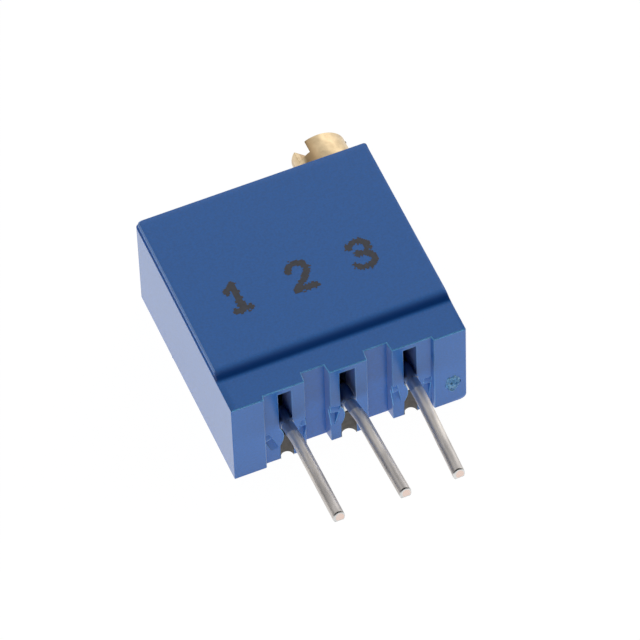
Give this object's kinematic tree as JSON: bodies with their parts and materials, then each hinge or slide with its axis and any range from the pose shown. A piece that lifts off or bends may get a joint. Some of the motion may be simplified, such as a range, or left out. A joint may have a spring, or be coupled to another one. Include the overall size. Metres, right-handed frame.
{
  "type": "trimmer potentiometer",
  "caption": "Square multi-turn trimmer potentiometer with a slotted brass adjuster at one end and a row of through-hole pins at the other.",
  "frame": {"origin": "the middle pin's axis, in the plane of the two feet that the body stands on when it is soldered upright", "axes": "+X along the row of pins towards the screw's side, +Y from the feet towards the screw, +Z out of the marked face; the part lies on its back"},
  "size_m": [0.0096, 0.0161, 0.0044],
  "materials": {
    "blue_plastic": "moulded, satin",
    "potting_resin": "cast resin, dull",
    "ceramic": "fired alumina",
    "resistor_film": "fired cermet film",
    "conductor_film": "fired silver film",
    "tinned_copper": "dull tin plate",
    "solder": "reflowed solder",
    "brass": "turned, slightly tarnished",
    "seal_rubber": "smooth",
    "spring_steel": "stamped",
    "nylon": "moulded",
    "black_nylon": "moulded",
    "spring_bronze": "rolled strip"
  },
  "bodies": {
    "body": {"housing": "blue_plastic", "potting_seal": "potting_resin", "ceramic_element": "ceramic", "resistive_track": "resistor_film", "collector_track": "conductor_film", "termination_1": "conductor_film", "termination_3": "conductor_film", "pin_1": "tinned_copper", "pin_2": "tinned_copper", "pin_3": "tinned_copper", "solder_1": "solder", "solder_2": "solder", "solder_3": "solder", "shaft_seal": "seal_rubber", "screw_retainer": "spring_steel"},
    "screw": {"adjuster_screw": "brass"},
    "rotor": {"worm_wheel": "nylon", "clutch_spring": "spring_bronze", "wiper_carrier": "black_nylon", "wiper_contact": "spring_bronze"}
  },
  "joints": [
    {"name": "adjuster_spin", "type": "hinge", "parent": "body", "child": "screw", "pos_m": [0.00349, 0.0096, 0.0002], "axis": [0, 1, 0], "range_deg": [-3960, 3960]},
    {"name": "rotor_turn", "type": "hinge", "parent": "body", "child": "rotor", "pos_m": [-0.0005, 0.005, 0], "axis": [0, 0, 1], "range_deg": [-141.5, 141.5]}
  ],
  "couplings": [
    {"joint": "rotor_turn", "follows": "adjuster_spin", "ratio": -0.035714}
  ]
}
